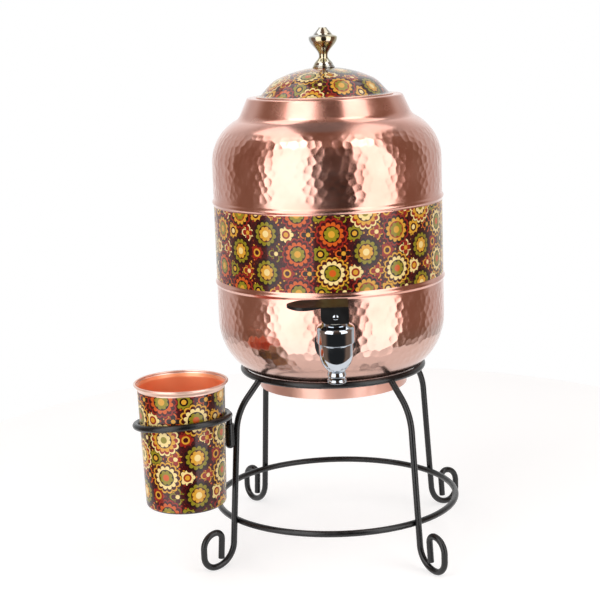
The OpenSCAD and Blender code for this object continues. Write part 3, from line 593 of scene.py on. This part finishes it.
pot_profile = joined(
    [(0, POT_BASE_Z), (BODY_R / 5, POT_BASE_Z)],
    arc(bowl[0], bowl[1], BOWL_R, -90, -40, 14),
    arc(bowl[0], bowl[1], BOWL_R, -40, 0, fine(BOWL_R * math.radians(40))),
    line((BODY_R, bowl[1]), (BODY_R, beads[0] - BEAD_HALF), fine(beads[0] - BEAD_HALF - bowl[1])),
    bead(beads[0]),
    line((BODY_R, band[0]), (BODY_R, band[1]), 12),
    bead(beads[1]),
    line((BODY_R, beads[1] + BEAD_HALF), (BODY_R, shoulder[1]),
         fine(shoulder[1] - beads[1] - BEAD_HALF)),
    arc(shoulder[0], shoulder[1], SHOULDER_R, 0, SHOULDER_SWEEP,
        fine(SHOULDER_R * math.radians(SHOULDER_SWEEP))),
    arc(fillet.x, fillet.y, NECK_FILLET_R, SHOULDER_SWEEP + 180, NECK_LEAN + 180, 16),
    line(fillet - neck_out * NECK_FILLET_R, rim + neck_out * RIM_ROUND, 16),
    arc(rim.x, rim.y, RIM_ROUND, NECK_LEAN, 90, 8),
    line((rim.x, RIM_Z), (MOUTH_R, RIM_Z), 4),
    line((MOUTH_R, RIM_Z), (MOUTH_R, RIM_Z - POT_WALL), 2),
    inner_side(POT_WALL),
)
outer_rows = next(n for n, p in enumerate(pot_profile)
                  if p == (MOUTH_R, RIM_Z) or p[0] <= MOUTH_R and p[1] > RIM_Z - TINY)

seeds = np.random.default_rng(11)
pot_path = np.array(pot_profile[:outer_rows])
pot_way = np.concatenate([[0], np.cumsum(np.hypot(*np.diff(pot_path, axis=0).T))])
blows = []
for row, way in enumerate(np.arange(pot_way[0] + 40, pot_way[-1], DENT_PITCH * 0.88)):
    row_r = np.interp(way, pot_way, pot_path[:, 0])
    count = max(3, round(2 * math.pi * row_r / DENT_PITCH))
    for n in range(count):
        jitter = seeds.uniform(-0.3, 0.3, 2) * DENT_PITCH
        a = 2 * math.pi * (n + 0.5 * (row % 2)) / count + jitter[0] / row_r
        r, z = (np.interp(way + jitter[1], pot_way, pot_path[:, k]) for k in (0, 1))
        blows.append((r * math.cos(a), r * math.sin(a), z, seeds.uniform(0.8, 1.25)))
tree_of_blows = KDTree(len(blows))
for n, b in enumerate(blows):
    tree_of_blows.insert(b[:3], n)
tree_of_blows.balance()


def dents(ring):
    """How far each point of the pot is beaten in, in millimetres."""
    depth = np.zeros(ring.shape[:2])
    for row in range(outer_rows):
        z = ring[row, 0, 2]
        share = max(min(1, (z - low) / HAMMER_FADE, (high - z) / HAMMER_FADE)
                    for low, high in HAMMER_ZONES)
        if share <= 0 or row == 0:
            continue
        share = share * share * (3 - 2 * share)
        for col, p in enumerate(ring[row]):
            _, n, far = tree_of_blows.find(p)
            depth[row, col] = share * max(0, DENT_MAX * blows[n][3] - far * far / (2 * DENT_BALL_R))
    return depth


def pot_paint(r, z, n):
    return 1 if n < outer_rows and band[0] < z < band[1] and r > BODY_R - TINY else 0


pot = revolve("pot_skin", pot_profile, 900, paint=pot_paint, dent=dents,
              spread=lambda z, way, turn: (turn * BODY_R, z - band[0]))
place(pot, "pot", "copper", [COPPER, BAND_PRINT],
      "pot_base", "pot_side", "pot_band", "pot_shoulder", "pot_neck")

# Lid
FLANGE_Z = RIM_Z + LID_WALL
lean = math.radians(DOME_LEAN)
crown_turn = math.radians(CROWN_LEAN)
dome = (LID_LIP_R - DOME_SIDE_R * math.cos(lean), FLANGE_Z - DOME_SIDE_R * math.sin(lean))
crown_r = (dome[0] + DOME_SIDE_R * math.cos(crown_turn)) / math.cos(crown_turn)
crown_z = dome[1] + (DOME_SIDE_R - crown_r) * math.sin(crown_turn)
land = math.degrees(math.acos(LAND_R / crown_r))
LAND_Z = crown_z + crown_r * math.sin(math.radians(land))
FLANGE_EDGE = LID_WALL / 2


def dome_side(inset, start, steps):
    """The dome from a lean of its side up to the land under the knob."""
    return joined(
        arc(dome[0], dome[1], DOME_SIDE_R - inset, start, CROWN_LEAN, steps),
        arc(0, crown_z, crown_r - inset, CROWN_LEAN, land, steps),
        [(0, LAND_Z - inset)],
    )


# The flare that carries the dome's print out onto the flange
flare = math.radians(LID_FLARE_LEAN)
flare_top = (dome[0] + DOME_SIDE_R * math.cos(flare), dome[1] + DOME_SIDE_R * math.sin(flare))
flare_foot = (flare_top[0] + (flare_top[1] - FLANGE_Z) * math.tan(flare)
              + LID_FLARE_R * math.tan((math.pi / 2 - flare) / 2))

lid_profile = joined(
    [(0, LAND_Z - LID_WALL)],
    list(reversed(dome_side(LID_WALL, DOME_LEAN, 12)))[1:],
    line((LID_LIP_R - LID_WALL, RIM_Z - LID_LIP_H), (LID_LIP_R, RIM_Z - LID_LIP_H), 1),
    line((LID_LIP_R, RIM_Z), (LID_FLANGE_R - FLANGE_EDGE, RIM_Z), 2),
    arc(LID_FLANGE_R - FLANGE_EDGE, RIM_Z + FLANGE_EDGE, FLANGE_EDGE, -90, 90, 8),
    line((LID_FLANGE_R - FLANGE_EDGE, FLANGE_Z), (flare_foot, FLANGE_Z), 2),
    arc(flare_foot, FLANGE_Z + LID_FLARE_R, LID_FLARE_R, 270, LID_FLARE_LEAN + 180, 10),
    dome_side(0, LID_FLARE_LEAN, 32),
)
dome_start = next(n for n, p in enumerate(lid_profile)
                  if p[1] > FLANGE_Z - TINY and p[0] > LID_LIP_R)
lid_way = sum(math.dist(a, b) for a, b in zip(lid_profile, lid_profile[1:]))
lid = revolve("lid_skin", lid_profile, 256, paint=lambda r, z, n: 1 if n >= dome_start else 0,
              spread=lambda z, way, turn: ((lid_way - way) * np.cos(turn),
                                           (lid_way - way) * np.sin(turn)))
place(lid, "lid", "printed_copper", [RIM_SHEEN_COPPER, LID_PRINT], "lid_dome", "lid_rim")

knob_profile = joined(
    [(0, 0), (8.3, 0)],
    arc(8.3, 0.6, 0.6, -80, 80, 8),
    arc(7.7, 1.7, 0.5, -70, 80, 8),
    ease(7.5, 2.3, 3.4, 9.0, 24),
    ease(3.4, 9.2, 11.2, 23.0, 40),
    arc(10.7, 23.6, 0.6, -20, 70, 6),
    ease(10.8, 24.2, 7.3, 26.0, 12),
    arc(7.2, 26.2, 0.2, -60, -120, 3),
    line((7.0, 26.5), (3.3, 30.7), 10),
    arc(2.8, 30.7, 0.6, 20, 90, 6),
    [(0, 31.4)],
)
knob_profile = [(max(0.0, r) if r > 1e-3 else 0.0, z + LAND_Z) for r, z in knob_profile]
knob = revolve("lid_finial", knob_profile, 96)
place(knob, "lid", "polished_nickel", [NICKEL], "lid_knob")

# Tumbler
cup_low, cup_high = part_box("tumbler")
cup_at = ((cup_low.x + cup_high.x) / 2 / MM, (cup_low.y + cup_high.y) / 2 / MM)
cup_z = cup_low.z / MM
lip_z = TUMBLER_H - TUMBLER_LIP_H
rim_r = TUMBLER_TOP_R + TUMBLER_FLARE
roll_z = TUMBLER_H - TUMBLER_ROLL_R


def cup_side(inset):
    """The tumbler's side from its base to its rim."""
    return joined(
        arc(TUMBLER_BASE_R - TUMBLER_EDGE_R, TUMBLER_EDGE_R, TUMBLER_EDGE_R - inset, -90, 0, 8),
        line((TUMBLER_BASE_R - inset, TUMBLER_EDGE_R), (TUMBLER_TOP_R - inset, lip_z), 16),
        ease(TUMBLER_TOP_R - inset, lip_z, rim_r - inset, roll_z, 12),
    )


cup_profile = joined(
    [(0, 0)],
    cup_side(0),
    arc(rim_r - TUMBLER_WALL / 2, roll_z, TUMBLER_ROLL_R, -30, 210, 14),
    list(reversed(cup_side(TUMBLER_WALL))),
    [(0, TUMBLER_WALL)],
)
cup_turn = next(n for n, p in enumerate(cup_profile) if p[1] > TUMBLER_H - TINY)


def cup_paint(r, z, n):
    """Print on the side, a brighter copper inside that paints in the light the cup reflects into
    itself, and a pale copper with painted sheen on the rim and under the base.
    """
    if n < cup_turn:
        return 1 if 0.3 < z - cup_z < lip_z else 0
    return 2 if z - cup_z < roll_z - 1.5 else 0


cup = revolve("tumbler_skin", [(r, z + cup_z) for r, z in cup_profile], 192, at=cup_at,
              paint=cup_paint,
              spread=lambda z, way, turn: (turn * CUP_PRINT_ROUND / (2 * math.pi), z - cup_z))
place(cup, "tumbler", "printed_copper", [RIM_SHEEN_COPPER, CUP_PRINT, CUP_GLOW_COPPER], "tumbler")

# Tap body: an egg-shaped barrel with its nozzle, welded to the flanged shank
tap_side = np.array((1, 0, 0))
tap_up = np.array((0, -math.sin(TAP_LEAN), math.cos(TAP_LEAN)))
tap_back = np.cross(tap_up, tap_side)
tap_cad = np.array([v.co for v in nodes["tap_body"].data.vertices]) / MM
tap_at = (tap_up * ((tap_cad @ tap_up).min() + NOZZLE_DROP)
          + tap_back * ((tap_cad @ tap_back).max() - SHANK_END))
ring_r = NOZZLE_R + NOZZLE_RING_OUT
lip_top = NOZZLE_LIP_H - NOZZLE_DROP
ring_low = lip_top + NOZZLE_RING_H
egg = (BARREL_R - EGG_R, EGG_TOP)
egg_lean = math.radians(EGG_LEAN)
egg_foot = (egg[0] + EGG_R * math.cos(egg_lean), egg[1] - EGG_R * math.sin(egg_lean))
egg_end = egg_foot[1] - (egg_foot[0] - NOZZLE_R) / math.tan(egg_lean)
# The shank starts as a small face inside the barrel's wall and widens to its full size
SHANK_START = CHAMBER_R + 0.05
SHANK_START_R = SHANK_BORE_R + 0.2
SHANK_FULL = CHAMBER_R + 2.2
EDGE = 0.4
barrel_section = joined(
    [(NOZZLE_BORE_R, -NOZZLE_DROP)],
    arc(ring_r - EDGE, EDGE - NOZZLE_DROP, EDGE, -90, 0, 5),
    ease(ring_r, lip_top, NOZZLE_R, lip_top + NOZZLE_RING_OUT, 5),
    ease(NOZZLE_R, ring_low, ring_r, ring_low + NOZZLE_RING_OUT, 5),
    ease(ring_r, ring_low + NOZZLE_RING_OUT, NOZZLE_R, egg_end, 10),
    line((NOZZLE_R, egg_end), egg_foot, 16),
    arc(egg[0], egg[1], EGG_R, -EGG_LEAN, 0, 24),
    arc(BARREL_R - EDGE, BARREL_TOP - EDGE, EDGE, 0, 90, 5),
    [(SPIGOT_R, BARREL_TOP), (SPIGOT_R, SPIGOT_TOP), (CHAMBER_R, SPIGOT_TOP),
     (CHAMBER_R, -SEAT_DROP), (NOZZLE_BORE_R, -SEAT_DROP)],
)
shank_section = joined(
    [(SHANK_BORE_R, SHANK_START), (SHANK_START_R, SHANK_START), (SHANK_R, SHANK_FULL)],
    [(SHANK_R, TAP_FLANGE[0])],
    arc(TAP_FLANGE_R - EDGE, TAP_FLANGE[0] + EDGE, EDGE, -90, 0, 5),
    arc(TAP_FLANGE_R - EDGE, TAP_FLANGE[1] - EDGE, EDGE, 0, 90, 5),
    [(SHANK_R, TAP_FLANGE[1]), (SHANK_R, SHANK_END), (SHANK_BORE_R, SHANK_END)],
)
tap = turned_ring("tap_shell", barrel_section, 96, tap_at, tap_side, tap_back, tap_up)
shank = turned_ring("tap_shank", shank_section, 72, tap_at, tap_side, -tap_up, tap_back)
weld = tap.modifiers.new("weld", "BOOLEAN")
weld.operation = "UNION"
weld.object = shank
welded = bpy.data.meshes.new_from_object(tap.evaluated_get(bpy.context.evaluated_depsgraph_get()))
tap.modifiers.clear()
tap.data = welded
bpy.data.objects.remove(shank)
tap.data.set_sharp_from_angle(angle=math.radians(SHARP_ANGLE))
place(tap, "pot", "tap_chrome", [CHROME], "tap_body")

# Valve spring: a fine coil in the place of the plain one
COIL_STEPS = 32
COIL_SIDES = 12
coil_cad = np.array([v.co for v in nodes["valve_spring"].data.vertices]) / MM
coil_middle = (coil_cad.min(0) + coil_cad.max(0)) / 2
coil_heights = (coil_cad - coil_middle) @ tap_up
coil_low, coil_high = coil_heights.min(), coil_heights.max()
coil_r = np.hypot((coil_cad - coil_middle) @ tap_side,
                  (coil_cad - coil_middle) @ tap_back).max() - SPRING_WIRE_R
coil_turn = np.linspace(0, 2 * math.pi * SPRING_TURNS, SPRING_TURNS * COIL_STEPS + 1)[:, None]
coil_out = np.cos(coil_turn) * tap_side + np.sin(coil_turn) * tap_back
coil_rise = np.linspace(coil_low + SPRING_WIRE_R, coil_high - SPRING_WIRE_R,
                        len(coil_turn))[:, None]
coil_line = coil_middle + tap_up * coil_rise + coil_out * coil_r
coil_round = np.linspace(0, 2 * math.pi, COIL_SIDES, endpoint=False)[:, None]
coil_section = coil_out[:, None] * np.cos(coil_round) + tap_up * np.sin(coil_round)
coil_verts = (coil_line[:, None] + SPRING_WIRE_R * coil_section).reshape(-1, 3)
i, j = grid(np.arange(len(coil_turn) - 1), np.arange(COIL_SIDES))
near, far = i * COIL_SIDES, (i + 1) * COIL_SIDES
beside = (j + 1) % COIL_SIDES
coil_quads = np.stack([near + j, far + j, far + beside, near + beside], 1)
coil_last = len(coil_verts) - 1
coil_ends = np.concatenate([np.arange(COIL_SIDES),
                            np.arange(coil_last, coil_last - COIL_SIDES, -1)])
coil_loops = np.concatenate([coil_quads.ravel(), coil_ends])
coil_starts = np.concatenate([4 * np.arange(len(coil_quads)),
                              4 * len(coil_quads) + COIL_SIDES * np.arange(2)])
coil = mesh_object("valve_coil", coil_verts * MM, coil_loops, coil_starts, 0 * coil_starts,
                   np.zeros((len(coil_loops), 2)))
place(coil, "pot", "steel", [STEEL], "valve_spring")
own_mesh(coil)

# Stage: a pale round table top that keeps the soft shadow
FLOOR_R = 0.42
FLOOR_AT = (0, 0.18, 0)
FLOOR_GREY = 0.5
FLOOR_FILL, FLOOR_SEEN = 0.25, 0.625
bpy.ops.mesh.primitive_circle_add(vertices=128, radius=FLOOR_R, fill_type="NGON", location=FLOOR_AT)
floor = bpy.context.object
floor.name = "floor"


def seen(tree, path):
    """One for rays from the camera, and for those that metal or glass passes on."""
    rays = ("Is Camera Ray", "Is Glossy Ray", "Is Transmission Ray")
    camera, glossy, through = (Field(tree, path.outputs[n]) for n in rays)
    return camera.math("MAXIMUM", glossy).math("MAXIMUM", through)


FLOOR = bpy.data.materials.new("floor_pale")
FLOOR.use_nodes = True
floor_tree = FLOOR.node_tree
floor_tree.nodes.remove(floor_tree.nodes["Principled BSDF"])
matte = floor_tree.nodes.new("ShaderNodeBsdfDiffuse")
matte.inputs["Color"].default_value = (FLOOR_GREY, FLOOR_GREY, FLOOR_GREY, 1)
glow = floor_tree.nodes.new("ShaderNodeEmission")
floor_path = floor_tree.nodes.new("ShaderNodeLightPath")
floor_glow = seen(floor_tree, floor_path).ramp(0, 1, FLOOR_FILL, FLOOR_SEEN)
floor_tree.links.new(floor_glow.socket, glow.inputs["Strength"])
both = floor_tree.nodes.new("ShaderNodeAddShader")
floor_tree.links.new(matte.outputs[0], both.inputs[0])
floor_tree.links.new(glow.outputs[0], both.inputs[1])
floor_tree.links.new(both.outputs[0], floor_tree.nodes["Material Output"].inputs["Surface"])
floor.data.materials.append(FLOOR)

# World: white behind the object, a dim warm room at its front and sides, and white to the camera
FRONT_LEVEL, SIDE_LEVEL, BACK_MORE, TOP_LEVEL = 0.06, 0.24, 0.42, 0.2
LOW_FRONT_DIM = 0.6
ROOM_TINT = (1, 0.62, 0.44)
world = bpy.data.worlds.new("studio")
bpy.context.scene.world = world
world.use_nodes = True
sky = world.node_tree
back = sky.nodes["Background"]
where = sky.nodes.new("ShaderNodeTexCoord")
split = sky.nodes.new("ShaderNodeSeparateXYZ")
sky.links.new(where.outputs["Generated"], split.inputs[0])
sx, sy, sz = (Field(sky, split.outputs[k]) for k in range(3))
facing = sy / ((sx * sx + sy * sy).math("SQRT") + 0.0001)
behind = facing.ramp(0.2, 0.55)
level = facing.ramp(-0.6, -0.25, FRONT_LEVEL, SIDE_LEVEL) + behind * BACK_MORE
low_front = sz.ramp(-0.35, -0.05, 1.0, 0.0) * facing.ramp(-0.7, -0.4, 1.0, 0.0)
level = level * (low_front * -LOW_FRONT_DIM + 1.0)
top = sz.ramp(0.55, 0.85)
level = level * (top * -1.0 + 1.0) + top * TOP_LEVEL
path = sky.nodes.new("ShaderNodeLightPath")
to_camera = Field(sky, path.outputs["Is Camera Ray"])
backdrop = seen(sky, path) * facing.ramp(0.75, 1.0) * sz.ramp(0.6, 0.9, 1.0, 0.0)
white = to_camera.math("MAXIMUM", backdrop)
level = level * (white * -1.0 + 1.0) + white
sky.links.new(level.socket, back.inputs["Strength"])
plain = behind.math("MAXIMUM", to_camera).math("MAXIMUM", low_front)
sky.links.new(mixed(sky, plain, ROOM_TINT, (1, 1, 1)), back.inputs["Color"])


def softbox(name, at, target, width, height, radiance, receivers=None):
    """A soft light of one brightness, in metres, that faces a target, isn't seen by the camera and
    may leave some pieces out."""
    light = bpy.data.lights.new(name, "AREA")
    light.shape = "RECTANGLE"
    light.size, light.size_y = width, height
    light.energy = radiance * math.pi * width * height
    obj = bpy.data.objects.new(name, light)
    obj.location = at
    obj.rotation_euler = (Vector(target) - Vector(at)).to_track_quat("-Z", "Y").to_euler()
    obj.visible_camera = False
    obj.light_linking.receiver_collection = receivers
    bpy.context.scene.collection.objects.link(obj)


def around(azimuth, distance, z):
    """A place at an azimuth from the front, in degrees to the right."""
    a = math.radians(azimuth)
    return distance * math.sin(a), -distance * math.cos(a), z


# The side lights reach down to the table for all, and below it for all but the tap, whose face
# stays dark
off_tap = bpy.data.collections.new("off_tap")
for item in (tap, *(nodes[name] for name in KEPT[CHROME])):
    off_tap.objects.link(item)
for item in off_tap.collection_objects:
    item.light_linking.link_state = "EXCLUDE"
SIDE_LOW, SIDE_SPLIT, SIDE_TOP = -2.0, -0.05, 2.2
SIDE_DISTANCE = 1.15
SIDE_RADIANCE = 2.3
TOP_Y, TOP_Z, TOP_LENGTH = -0.05, 1.55, 1.5
side_parts = (
    ("softbox", SIDE_SPLIT, SIDE_TOP, None),
    ("low_softbox", SIDE_LOW, SIDE_SPLIT, off_tap),
)
for side, azimuth, width in (("left", -39.5, 1.0), ("right", 47.5, 0.8)):
    for part, low, high, lit in side_parts:
        z = (low + high) / 2
        softbox(f"{side}_{part}", around(azimuth, SIDE_DISTANCE, z), (0, 0, z), width, high - low,
                SIDE_RADIANCE, lit)
for side, x, width, radiance in (("left", -0.71, 0.68, 1.8), ("right", 0.62, 0.6, 1.6)):
    softbox(f"{side}_top_softbox", (x, TOP_Y, TOP_Z), (x, TOP_Y, 0), width, TOP_LENGTH, radiance)

# Camera: fitted to the photograph's ellipses
CAMERA_AT = (-0.0251, -1.1997, 0.4296)
CAMERA_PITCH = math.radians(10.8)
CAMERA_ROLL = math.radians(2.0)
FOCAL_PIXELS = 1502
IMAGE_PIXELS = 600
SENSOR = 36
data = bpy.data.cameras.new("camera")
data.sensor_width = SENSOR
data.lens = SENSOR * FOCAL_PIXELS / IMAGE_PIXELS
camera = bpy.data.objects.new("camera", data)
ahead = Vector((0, math.cos(CAMERA_PITCH), -math.sin(CAMERA_PITCH)))
right = Vector((1, 0, 0))
up = right.cross(ahead)
right_rolled = right * math.cos(CAMERA_ROLL) - up * math.sin(CAMERA_ROLL)
up_rolled = right * math.sin(CAMERA_ROLL) + up * math.cos(CAMERA_ROLL)
turned = Matrix((right_rolled, up_rolled, -ahead)).transposed().to_4x4()
camera.matrix_world = Matrix.Translation(CAMERA_AT) @ turned
bpy.context.scene.collection.objects.link(camera)
bpy.context.scene.camera = camera
bpy.context.scene.view_settings.view_transform = "Standard"
